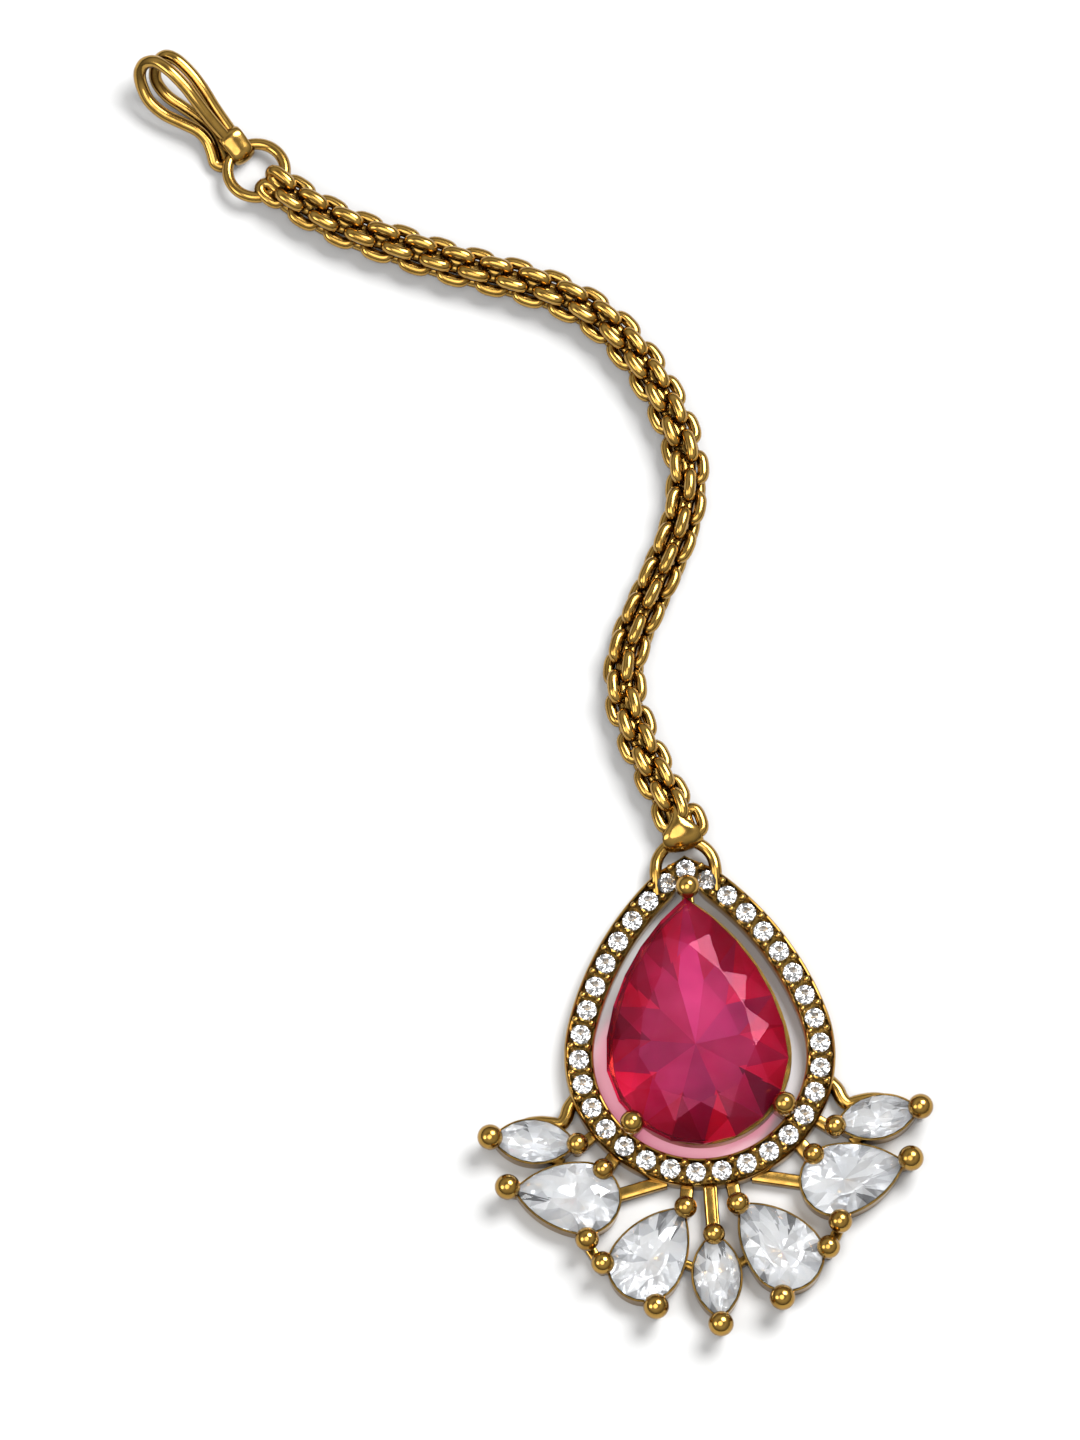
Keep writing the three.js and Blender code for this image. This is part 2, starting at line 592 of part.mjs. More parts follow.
// The strap that links the chain's end to the pendant's loop, wider at the loop
function bail() {
  const oval = (halfLong, halfHigh) =>
    Array.from({ length: 20 }, (_, i) => [
      halfLong * Math.cos((i * Math.PI) / 10),
      halfHigh * Math.sin((i * Math.PI) / 10),
    ]);
  const outer = oval(BAIL_HALF + BAIL_THICK, BAIL_HALF_HIGH + BAIL_THICK_HIGH);
  const upright = new THREE.Matrix4().makeBasis(
    new THREE.Vector3(0, 1, 0),
    new THREE.Vector3(0, 0, 1),
    new THREE.Vector3(1, 0, 0),
  );
  const strap = plate(outer, oval(BAIL_HALF, BAIL_HALF_HIGH), -2 * BAIL_WIDE, 2 * BAIL_WIDE);
  const end = BAIL_HALF + 2 * BAIL_THICK;
  const right = [
    [BAIL_WIDE, -end],
    [BAIL_WIDE, -0.44 * BAIL_HALF],
    [BAIL_NARROW, 0.59 * BAIL_HALF],
    [BAIL_NARROW, end],
  ];
  const flare = plate([...right, ...right.map(flipped).reverse()], null, -end, end);
  return strap.transform(upright.elements).intersect(flare);
}

function jumpRing() {
  return new THREE.TorusGeometry(RING_RADIUS, RING_WIRE / 2, 8, 14);
}

// The folded wire with the collar that holds it to the ring, built round the ring's centre
function hairHook() {
  const reach = RING_RADIUS - 0.08;
  const seat = [reach * Math.cos(COLLAR_TURN * RAD), reach * Math.sin(COLLAR_TURN * RAD), RING_Z - 0.28];
  const tube = new THREE.Shape().absarc(0, 0, COLLAR_OUTER, 0, 2 * Math.PI);
  tube.holes.push(new THREE.Path().absarc(0, 0, COLLAR_BORE, 0, 2 * Math.PI, true));
  const options = { depth: COLLAR_WIDTH, bevelEnabled: false, curveSegments: 12 };
  const collar = new THREE.ExtrudeGeometry(tube, options).translate(0, 0, -COLLAR_WIDTH / 2);
  collar.rotateX(Math.PI / 2).rotateZ(COLLAR_TURN * RAD).translate(...seat);
  const [near, far] = shifted(SLEEVE.map((out) => [out, 0]), 0, 0, COLLAR_TURN);
  const sleeve = bar(near, far, COLLAR_WIDTH, SLEEVE_LOW, SLEEVE_TOP);
  return joined([solidOf(collar), sleeve, wire(HOOK_PATH, HOOK_WIRE, 38, 6)]);
}

function mesh(name, geometry, look) {
  const flat = geometry.index ? geometry.toNonIndexed() : geometry;
  flat.computeVertexNormals();
  const made = new THREE.Mesh(flat, new THREE.MeshStandardMaterial({ ...look, flatShading: true }));
  made.name = name;
  return made;
}

const laid = new THREE.Group();
laid.add(mesh("pendant_frame", geometryOf(pendantFrame()), GOLD));
laid.add(mesh("main_stone", mainStone(), RED_STONE));
haloPlaces().forEach(([x, y], i) => {
  const stone = mesh("halo_stone_" + String(i + 1).padStart(2, "0"), haloStone(), CLEAR_STONE);
  stone.position.set(x, y, HALO_GIRDLE_Z);
  laid.add(stone);
});
fanRows.forEach((row) => laid.add(mesh(row.name, fanStone(row), CLEAR_STONE)));
laid.add(mesh("chain", geometryOf(chain()), GOLD));

const strap = mesh("bail", geometryOf(bail()), GOLD);
strap.position.set(BAIL_X, LOOP_TOP + BAIL_HALF * BAIL_RISE, BAIL_Z);
strap.rotation.set(0, 0, BAIL_TURN * RAD);
laid.add(strap);

const [endX, endY] = ROUTE[ROUTE.length - 1];
const ringX = endX + RING_FROM_CHAIN[0];
const ringY = LOOP_TOP + endY + RING_FROM_CHAIN[1];
const ring = mesh("jump_ring", jumpRing(), GOLD);
ring.position.set(ringX, ringY, RING_Z);
ring.rotation.set(-RING_TILT * RAD, 0, 0);
laid.add(ring);

const hook = mesh("hair_hook", geometryOf(hairHook()), GOLD);
hook.position.set(ringX, ringY, 0);
laid.add(hook);

// The whole is set down with the middle of its footprint on the origin
const reach = new THREE.Box3().setFromObject(laid);
laid.position.set(-(reach.min.x + reach.max.x) / 2, -(reach.min.y + reach.max.y) / 2, -reach.min.z);

const root = new THREE.Group();
root.name = "maang_tikka";
root.add(laid);

export default root;
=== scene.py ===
import math
import random

import bmesh
import bpy
from mathutils import Matrix, Vector


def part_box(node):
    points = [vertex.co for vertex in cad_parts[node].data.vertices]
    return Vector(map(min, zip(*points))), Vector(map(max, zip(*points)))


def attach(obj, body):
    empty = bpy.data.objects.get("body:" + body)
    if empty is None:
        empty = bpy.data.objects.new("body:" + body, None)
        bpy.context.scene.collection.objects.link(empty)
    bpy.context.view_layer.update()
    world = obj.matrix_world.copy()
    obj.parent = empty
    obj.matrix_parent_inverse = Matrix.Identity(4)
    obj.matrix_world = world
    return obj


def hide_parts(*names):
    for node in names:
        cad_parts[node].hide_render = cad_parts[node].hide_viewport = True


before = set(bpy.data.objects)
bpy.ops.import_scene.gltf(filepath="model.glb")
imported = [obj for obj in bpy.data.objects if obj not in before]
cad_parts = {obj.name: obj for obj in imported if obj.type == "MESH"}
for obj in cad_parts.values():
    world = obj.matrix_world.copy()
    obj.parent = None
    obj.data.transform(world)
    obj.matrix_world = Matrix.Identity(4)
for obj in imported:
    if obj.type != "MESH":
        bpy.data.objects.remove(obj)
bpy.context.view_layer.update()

print("frame loaded")

mm = 0.001
mainLow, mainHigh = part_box("main_stone")
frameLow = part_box("pendant_frame")[0]
# Sizes are in millimetres. Places are seen from a point on the pendant's axis and on the table, 0.3 mm
# short of the halo's centre.
pearMain = {"radius": 9.0, "flank": 22.5, "turn": 9.0, "y": -0.25, "x": -0.35}
pendant = Vector(((mainLow.x + mainHigh.x) / 2 - pearMain["x"] * mm,
                  mainLow.y + (pearMain["radius"] - pearMain["y"]) * mm, frameLow.z))


def at(x, y, z=0.0):
    return pendant + Vector((x, y, z)) * mm


def smoothPath(points, count):
    # Catmull-Rom through the points
    spans = len(points) - 1
    out = []
    for i in range(count):
        t = i / (count - 1) * spans
        k = min(int(t), spans - 1)
        f = t - k
        a, b, c, d = [Vector(points[min(max(k + j, 0), spans)]) for j in (-1, 0, 1, 2)]
        bend = (2 * a - 5 * b + 4 * c - d) * f * f + (3 * b - a - 3 * c + d) * f ** 3
        out.append(0.5 * (2 * b + (c - a) * f + bend))
    return out


def gridFaces(rows, around, closed):
    faces = []
    for i in range(rows if closed else rows - 1):
        j = (i + 1) % rows
        for k in range(around):
            m = (k + 1) % around
            faces.append((i * around + k, i * around + m, j * around + m, j * around + k))
    if not closed:
        faces.append(tuple(reversed(range(around))))
        faces.append(tuple((rows - 1) * around + k for k in range(around)))
    return faces


def tubeShell(path, radius, sides=12, closed=False):
    # A round wire along the path, its sides carried on without twist
    n = len(path)
    tangents = []
    for i in range(n):
        before = path[(i - 1) % n] if closed or i > 0 else path[i]
        after = path[(i + 1) % n] if closed or i < n - 1 else path[i]
        tangents.append((after - before).normalized())
    side = tangents[0].orthogonal().normalized()
    carried = []
    for i in range(n):
        if i:
            side = tangents[i - 1].rotation_difference(tangents[i]) @ side
            side = (side - side.dot(tangents[i]) * tangents[i]).normalized()
        carried.append(side.copy())
    twist = 0.0
    if closed:
        turned = (tangents[-1].rotation_difference(tangents[0]) @ side).normalized()
        twist = math.atan2(turned.cross(carried[0]).dot(tangents[0]), turned.dot(carried[0]))
    verts = []
    for i in range(n):
        s = Matrix.Rotation(twist * i / n, 3, tangents[i]) @ carried[i]
        b = tangents[i].cross(s)
        for k in range(sides):
            a = 2 * math.pi * k / sides
            verts.append(path[i] + (s * math.cos(a) + b * math.sin(a)) * radius)
    return verts, gridFaces(n, sides, closed)


def loopShell(rows):
    # Closed rings of equal length, joined in order and back to the first
    return [v for row in rows for v in row], gridFaces(len(rows), len(rows[0]), True)


def ballShell(centre, radius, rings=14, around=24):
    verts = [centre + Vector((0, 0, radius))]
    for r in range(1, rings):
        t = math.pi * r / rings
        for k in range(around):
            a = 2 * math.pi * k / around
            spot = Vector((math.sin(t) * math.cos(a), math.sin(t) * math.sin(a), math.cos(t)))
            verts.append(centre + spot * radius)
    verts.append(centre - Vector((0, 0, radius)))
    faces = [(0, 1 + k, 1 + (k + 1) % around) for k in range(around)]
    for r in range(rings - 2):
        for k in range(around):
            a, b = 1 + r * around + k, 1 + r * around + (k + 1) % around
            faces.append((a, a + around, b + around, b))
    last = len(verts) - 1
    for k in range(around):
        faces.append((last, last - around + (k + 1) % around, last - around + k))
    return verts, faces


def barShell(start, end, wide, low, high, soft=0.22):
    # A bar between two points of the plan, with rounded long edges
    a, b = Vector((*start, 0)), Vector((*end, 0))
    along = (b - a).normalized()
    side = Vector((-along.y, along.x, 0))
    half = wide / 2
    corners = ((half - soft, high - soft, 0), (soft - half, high - soft, 90),
               (soft - half, low + soft, 180), (half - soft, low + soft, 270))
    profile = []
    for cx, cz, first in corners:
        for step in (0, 30, 60, 90):
            t = math.radians(first + step)
            profile.append((cx + soft * math.cos(t), cz + soft * math.sin(t)))
    rows = [[at(*(p + side * x).xy, z) for x, z in profile] for p in (a, b)]
    return rows[0] + rows[1], gridFaces(2, len(profile), False)


def meshObject(name, shells):
    bm = bmesh.new()
    for verts, faces in shells:
        made = [bm.verts.new(v) for v in verts]
        for f in faces:
            bm.faces.new([made[i] for i in f])
    bmesh.ops.recalc_face_normals(bm, faces=bm.faces)
    mesh = bpy.data.meshes.new(name)
    bm.to_mesh(mesh)
    bm.free()
    for p in mesh.polygons:
        p.use_smooth = True
    obj = bpy.data.objects.new(name, mesh)
    bpy.context.scene.collection.objects.link(obj)
    return obj


def keepEdges(obj, angle):
    # Smooth shading, but hard where faces meet at more than the angle
    bm = bmesh.new()
    bm.from_mesh(obj.data)
    for e in bm.edges:
        e.smooth = not (e.is_manifold and e.calc_face_angle(0) > math.radians(angle))
    bm.to_mesh(obj.data)
    bm.free()


def rideAs(obj, slot, *nodes):
    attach(obj, "root")
    if nodes:
        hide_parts(*nodes)


def newMaterial(name):
    mat = bpy.data.materials.new(name)
    mat.use_nodes = True
    nodes, links = mat.node_tree.nodes, mat.node_tree.links
    nodes.clear()
    out = nodes.new("ShaderNodeOutputMaterial")
    shader = nodes.new("ShaderNodeBsdfPrincipled")
    links.new(shader.outputs["BSDF"], out.inputs["Surface"])
    return mat, nodes, links, shader


def colourMix(nodes, links, factor, first, second):
    # A colour mix; each colour is a tuple or a socket
    mix = nodes.new("ShaderNodeMix")
    mix.data_type = "RGBA"
    links.new(factor, mix.inputs["Factor"])
    for socket, value in (("A", first), ("B", second)):
        if isinstance(value, tuple):
            mix.inputs[socket].default_value = (*value, 1)
        else:
            links.new(value, mix.inputs[socket])
    return mix.outputs["Result"]


def ranged(nodes, links, value, low, high, toLow=0.0, toHigh=1.0):
    step = nodes.new("ShaderNodeMapRange")
    for socket, number in (("From Min", low), ("From Max", high), ("To Min", toLow), ("To Max", toHigh)):
        step.inputs[socket].default_value = number
    links.new(value, step.inputs["Value"])
    return step.outputs["Result"]


goldLook = {
    "light": (0.42, 0.248, 0.058),
    "worn": (0.28, 0.152, 0.030),
    # the colour mixed in at hollows and on faces turned sideways and down: tarnish together with painted
    # shade in the hollows, painted shade alone on the faces turned down
    "shadeAndTarnish": (0.09, 0.047, 0.009),
    "roughLow": 0.11,
    "roughHigh": 0.23,
    "hollow": 0.0011,
    "hollowLow": 0.18,
    "hollowHigh": 0.70,
    "wear": 700.0,
    # undercut and flat: the normal heights between which the painted shade on faces turned down fades out
    "undercut": -0.55,
    "flat": 0.35,
}


def goldMaterial():
    mat, nodes, links, shader = newMaterial("shadedAntiqueGold")
    coords = nodes.new("ShaderNodeTexCoord")
    wear = nodes.new("ShaderNodeTexNoise")
    wear.inputs["Scale"].default_value = goldLook["wear"]
    wear.inputs["Detail"].default_value = 4
    links.new(coords.outputs["Object"], wear.inputs["Vector"])
    patch = ranged(nodes, links, wear.outputs["Fac"], 0.45, 0.75)
    metal = colourMix(nodes, links, patch, goldLook["light"], goldLook["worn"])
    # Darker in hollows and on faces turned sideways and down: tarnish together with painted shade in the
    # hollows, painted shade on the faces turned down
    hollow = nodes.new("ShaderNodeAmbientOcclusion")
    hollow.samples = 8
    hollow.inputs["Distance"].default_value = goldLook["hollow"]
    outsideHollows = ranged(nodes, links, hollow.outputs["AO"], goldLook["hollowLow"], goldLook["hollowHigh"])
    split = nodes.new("ShaderNodeSeparateXYZ")
    links.new(coords.outputs["Normal"], split.inputs["Vector"])
    upper = ranged(nodes, links, split.outputs["Z"], goldLook["undercut"], goldLook["flat"], 0.25)
    unshadedShare = nodes.new("ShaderNodeMath")
    unshadedShare.operation = "MULTIPLY"
    links.new(outsideHollows, unshadedShare.inputs[0])
    links.new(upper, unshadedShare.inputs[1])
    shadedAndTarnished = colourMix(nodes, links, unshadedShare.outputs["Value"], goldLook["shadeAndTarnish"], metal)
    links.new(shadedAndTarnished, shader.inputs["Base Color"])
    rough = ranged(nodes, links, wear.outputs["Fac"], 0.3, 0.7, goldLook["roughLow"], goldLook["roughHigh"])
    links.new(rough, shader.inputs["Roughness"])
    shader.inputs["Metallic"].default_value = 1.0
    return mat


def stoneMaterial(name, look):
    # Each facet keeps its own hue, and a lightness that is painted shade and reflection on the facets, from
    # the per-facet attribute read below
    mat, nodes, links, shader = newMaterial(name)
    hueAndShade = nodes.new("ShaderNodeAttribute")
    hueAndShade.attribute_name = "hueAndShade"
    split = nodes.new("ShaderNodeSeparateXYZ")
    links.new(hueAndShade.outputs["Vector"], split.inputs["Vector"])
    hue = colourMix(nodes, links, split.outputs["X"], look["edge"], look["table"])
    coords = nodes.new("ShaderNodeTexCoord")
    cloud = nodes.new("ShaderNodeTexNoise")
    cloud.inputs["Scale"].default_value = look["scale"]
    links.new(coords.outputs["Object"], cloud.inputs["Vector"])
    # Patches of the pale colour, spread by a noise
    palePatches = ranged(nodes, links, cloud.outputs["Fac"], 0.4, 0.8, 0.0, look["patchShare"])
    body = colourMix(nodes, links, palePatches, hue, look["pale"])
    # Facets led toward the dark colour by their lightness: painted shade and reflection
    shade = colourMix(nodes, links, split.outputs["Y"], look["facetShade"], body)
    links.new(shade, shader.inputs["Base Color"])
    shader.inputs["Transmission Weight"].default_value = look["clear"]
    shader.inputs["Metallic"].default_value = look["metal"]
    shader.inputs["Roughness"].default_value = look["rough"]
    shader.inputs["IOR"].default_value = look["ior"]
    shader.inputs["Specular Tint"].default_value = (*look["shine"], 1)
    return mat


rubyLook = {
    "edge": (0.95, 0.035, 0.17),
    "table": (0.95, 0.20, 0.47),
    "pale": (0.97, 0.34, 0.58),
    "facetShade": (0.45, 0.008, 0.05),
    "scale": 160.0,
    "patchShare": 0.3,
    "clear": 0.96,
    "metal": 0.0,
    "rough": 0.0,
    "shine": (0.42, 0.13, 0.20),
    "ior": 1.5,
}
crystalLook = {
    "edge": (0.93, 0.95, 0.98),
    "table": (0.98, 0.98, 0.98),
    "pale": (0.86, 0.84, 0.80),
    "facetShade": (0.03, 0.03, 0.035),
    "scale": 500.0,
    "patchShare": 0.3,
    "clear": 0.95,
    "metal": 0.0,
    "rough": 0.0,
    "shine": (1.0, 1.0, 1.0),
    "ior": 1.65,
}
gold = goldMaterial()
ruby = stoneMaterial("rubyGlass", rubyLook)
crystal = stoneMaterial("clearCrystal", crystalLook)
# The lower facets throw the light back like a foil
rubyBack = {
    **rubyLook,
    "edge": (0.62, 0.018, 0.06),
    "table": (0.25, 0.055, 0.15),
    "facetShade": (0.06, 0.002, 0.010),
    "clear": 0.0,
    "metal": 0.5,
    "rough": 0.3,
    "shine": (1.0, 1.0, 1.0),
}
crystalBack = {
    **crystalLook,
    "table": (1.0, 1.0, 1.0),
    "patchShare": 0.1,
    "clear": 0.0,
    "metal": 0.42,
    "rough": 0.03,
}
rubyFoil = stoneMaterial("rubyFacets", rubyBack)
crystalFoil = stoneMaterial("crystalFacets", crystalBack)
goldNodes = ("pendant_frame", "chain", "bail", "jump_ring", "hair_hook")
for name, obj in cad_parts.items():
    obj.data.materials.clear()
    obj.data.materials.append(ruby if name == "main_stone" else gold if name in goldNodes else crystal)
print("materials made")

pearHalo = {"radius": 11.9, "flank": 29.988, "turn": 17.0, "y": 0.3}
pearFan = {"radius": 3.5, "flank": 8.75, "turn": 3.0, "y": 0.0}


def pearPoint(pear, share):
    # Point and outward direction on the right side, from 0 at the bottom to 1 at the tip
    r, f, turn = pear["radius"], pear["flank"], math.radians(pear["turn"])
    cx, cy = (r - f) * math.cos(turn), (r - f) * math.sin(turn)
    tip = math.acos(-cx / f)
    roundLength, flankLength = r * (turn + math.pi / 2), f * (tip - turn)
    d = share * (roundLength + flankLength)
    if d <= roundLength:
        a = -math.pi / 2 + d / r
        return Vector((r * math.cos(a), r * math.sin(a) + pear["y"])), a
    a = turn + (d - roundLength) / f
    return Vector((cx + f * math.cos(a), cy + f * math.sin(a) + pear["y"])), a


def pearRing(pear, offset, count, tipSoft=0.08, tipShare=1.0):
    # Anticlockwise from the bottom at an offset, the direction eased round near the tip
    half = count // 2
    right = []
    for i in range(half + 1):
        p, a = pearPoint(pear, i / half)
        w = max(0.0, (i / half - 1 + tipSoft) / tipSoft)
        w = w * w * (3 - 2 * w)
        a = a * (1 - w) + math.pi / 2 * w
        reach = offset * (1 - (1 - tipShare) * w)
        right.append(Vector((p.x + reach * math.cos(a), p.y + reach * math.sin(a))))
    right[0].x = right[half].x = 0.0
    return right + [Vector((-p.x, p.y)) for p in reversed(right[1:half])]


def mainRing(offset, count, tipSoft):
    return [p + Vector((pearMain["x"], 0)) for p in pearRing(pearMain, offset, count, tipSoft)]


def marquiseRing(long, wide, offset, count):
    a, b = long / 2, wide / 2
    radius, back = (a * a + b * b) / (2 * b) + offset, (a * a - b * b) / (2 * b)
    reach = math.acos(back / radius)
    half = count // 2
    turns = [-reach + 2 * reach * i / half for i in range(half)]
    right = [Vector((0.0 if i == 0 else radius * math.cos(t) - back, radius * math.sin(t)))
             for i, t in enumerate(turns)]
    return right + [-p for p in right]


def placed(points, x, y, turn):
    t = math.radians(turn)
    c, s = math.cos(t), math.sin(t)
    return [Vector((x + p.x * c - p.y * s, y + p.x * s + p.y * c)) for p in points]


# angle and out: a stone's centre seen from the halo's; tip: its pointed end's direction; half: a marquise's
# half length or a pear's radius; balls: their places across and along, as shares of half; sizes: their radii
fanStones = {
    "marquise_side_right": {"angle": -24.2, "out": 1.557, "tip": 8, "wide": 4.2, "half": 4.0,
                            "balls": [(0.02, 1.08), (0.05, -1.07)], "sizes": (1.27, 1.1)},
    "pear_upper_right": {"angle": -47.7, "out": 1.556, "tip": 11, "half": 3.5,
                         "balls": [(-0.01, 2.15), (-0.84, -0.45), (1.22, -0.24)],
                         "sizes": (1.28, 1.08, 1.2)},
    "pear_lower_right": {"angle": -71.5, "out": 1.852, "tip": 126.5, "half": 3.5,
                         "balls": [(-0.1, 1.98), (1, -0.62), (-0.93, -0.88)], "sizes": (1.14, 1.17, 1.28)},
    "marquise_centre": {"angle": -90, "out": 1.887, "tip": 90, "wide": 4.6, "half": 4.15,
                        "balls": [(0, 0.97), (0, -1.22)], "sizes": (1.1, 1.27)},
}
for name in ("marquise_side", "pear_upper", "pear_lower"):
    row = fanStones[name + "_right"]
    balls = [(-x, y) for x, y in row["balls"]]
    fanStones[name + "_left"] = {**row, "angle": 180 - row["angle"], "tip": 180 - row["tip"], "balls": balls}


def fanCentre(row):
    a, reach = math.radians(row["angle"]), pearHalo["radius"] * row["out"]
    return reach * math.cos(a), pearHalo["y"] + reach * math.sin(a)


def fanRing(row, offset, count):
    if "wide" in row:
        own = marquiseRing(2 * row["half"], row["wide"], offset, count)
    else:
        own = pearRing(pearFan, offset, count, 0.05)
    return placed(own, *fanCentre(row), row["tip"] - 90)


def fanSpot(row, across, along):
    spot = Vector((across, along)) * row["half"]
    return placed([spot], *fanCentre(row), row["tip"] - 90)[0]


def cutShell(ring, centre, cut, place):
    # A cut stone over a girdle outline; place puts x, y, z in the frame. Also gives each facet's kind.
    n = len(ring)
    h = n // 2
    verts = []

    def put(p, share, z):
        verts.append(place(centre.x + (p.x - centre.x) * share, centre.y + (p.y - centre.y) * share, z))

    low, high = cut["z"] - cut["girdle"] / 2, cut["z"] + cut["girdle"] / 2
    for p in ring:
        put(p, 1, low)
    for p in ring:
        put(p, 1, high)
    for k in range(1, n, 2):
        put(ring[k], (1 + cut["table"]) / 2 + 0.02, high + cut["crown"] * 0.62)
    for k in range(0, n, 2):
        put(ring[k], cut["table"], high + cut["crown"])
    for k in range(1, n, 2):
        put(ring[k], cut["waist"], low - cut["pavilion"] * (1 - cut["waist"]) * cut["belly"])
    verts.append(place(centre.x, centre.y, low - cut["pavilion"]))
    mid, table, keel = 2 * n, 2 * n + h, 2 * n + 2 * h
    culet = keel + h
    faces = [(j, (j + 1) % n, n + (j + 1) % n, n + j) for j in range(n)]
    kinds = ["girdle"] * n
    for k in range(h):
        g, after, before, beside = 2 * k, (2 * k + 2) % n, (k - 1) % h, (k + 1) % h
        faces += [(n + g, n + g + 1, mid + k), (n + g + 1, n + after, mid + k)]
        faces += [(n + g, mid + k, table + k, mid + before), (mid + k, table + beside, table + k)]
        faces += [(g + 1, g, keel + k), (after, g + 1, keel + k), (keel + k, g, keel + before, culet)]
        kinds += ["crown", "crown", "kite", "star", "lower", "lower", "pavilion"]
    faces.append(tuple(table + k for k in range(h)))
    kinds.append("table")
    return verts, faces, kinds


def stoneObject(name, shell, tones, seed, *materials):
    # tones: for each kind of facet its range of hue and of lightness and the share of dim ones; the lightness
    # is painted shade and reflection on the facets.
    # The last of two materials is the back's.
    verts, faces, kinds = shell
    mesh = bpy.data.meshes.new(name)
    mesh.from_pydata(verts, [], faces)
    dice = random.Random(seed)
    values = []
    for kind in kinds:
        hueLow, hueHigh, lightLow, lightHigh, dimShare = tones[kind]
        middle = (lightLow + lightHigh) / 2
        low, high = (lightLow, middle) if dice.random() < dimShare else (middle, lightHigh)
        light = dice.uniform(low, high)
        values += [dice.uniform(hueLow, hueHigh), light, 0.0]
    mesh.attributes.new("hueAndShade", "FLOAT_VECTOR", "FACE").data.foreach_set("vector", values)
    for material in materials:
        mesh.materials.append(material)
    if len(materials) == 2:
        mesh.polygons.foreach_set("material_index", [int(kind in ("lower", "pavilion")) for kind in kinds])
    obj = bpy.data.objects.new(name, mesh)
    bpy.context.scene.collection.objects.link(obj)
    bm = bmesh.new()
    bm.from_mesh(mesh)
    bmesh.ops.recalc_face_normals(bm, faces=bm.faces)
    bm.to_mesh(mesh)
    bm.free()
    return obj


mainCut = {"z": 4.0, "girdle": 0.3, "crown": 1.8, "table": 0.64, "pavilion": 3.4, "waist": 0.5, "belly": 1.1,
           "points": 20, "heart": 1.35}
# For each kind of facet: hue range, lightness range and share of dim facets; the lightness paints shade and
# reflection on the facets
mainTones = {
    "table": (1.0, 1.0, 1.0, 1.0, 0.0),
    "star": (0.2, 0.8, 0.4, 1.0, 0.3),
    "kite": (0.0, 0.5, 0.1, 1.0, 0.5),
    "crown": (0.0, 0.2, 0.0, 1.0, 0.5),
    "girdle": (0.0, 0.2, 0.2, 0.8, 0.5),
    "lower": (0.0, 0.25, 0.0, 1.1, 0.45),
    "pavilion": (0.5, 1.0, 0.5, 1.1, 0.4),
}
fanCut = {"z": 2.3, "girdle": 0.16, "crown": 1.0, "table": 0.56, "pavilion": 1.5, "waist": 0.44, "belly": 0.9}
fanTones = {
    "table": (0.9, 1.0, 0.85, 1.0, 0.0),
    "star": (0.0, 1.0, 0.40, 1.0, 0.3),
    "kite": (0.0, 1.0, 0.30, 1.0, 0.35),
    "crown": (0.0, 1.0, 0.30, 1.0, 0.3),
    "girdle": (0.0, 1.0, 0.5, 0.9, 0.5),
    "lower": (0.0, 1.0, 0.05, 1.0, 0.4),
    "pavilion": (0.0, 1.0, 0.15, 1.0, 0.3),
}
bigTones = {
    **fanTones,
    "star": (0.0, 1.0, 0.35, 1.0, 0.3),
    "kite": (0.0, 1.0, 0.25, 1.0, 0.3),
    "crown": (0.0, 1.0, 0.15, 1.0, 0.3),
    "lower": (0.0, 1.0, 0.1, 2.0, 0.3),
    "pavilion": (0.0, 1.0, 0.7, 1.8, 0.3),
}

girdle = mainRing(0, mainCut["points"], 0.02)
heart = Vector((pearMain["x"], mainCut["heart"]))
mainStone = stoneObject("mainStone", cutShell(girdle, heart, mainCut, at), mainTones, 5, ruby, rubyFoil)
rideAs(mainStone, "ruby", "main_stone")

for seed, (name, row) in enumerate(fanStones.items()):
    count = 16 if "wide" in row else 24
    centre = fanSpot(row, 0, 0 if "wide" in row else 0.2)
    shell = cutShell(fanRing(row, 0, count), centre, fanCut, at)
    stone = stoneObject("cut_" + name, shell, bigTones, seed, crystal, crystalFoil)
    rideAs(stone, "crystal", name)
print("main and fan stones cut")


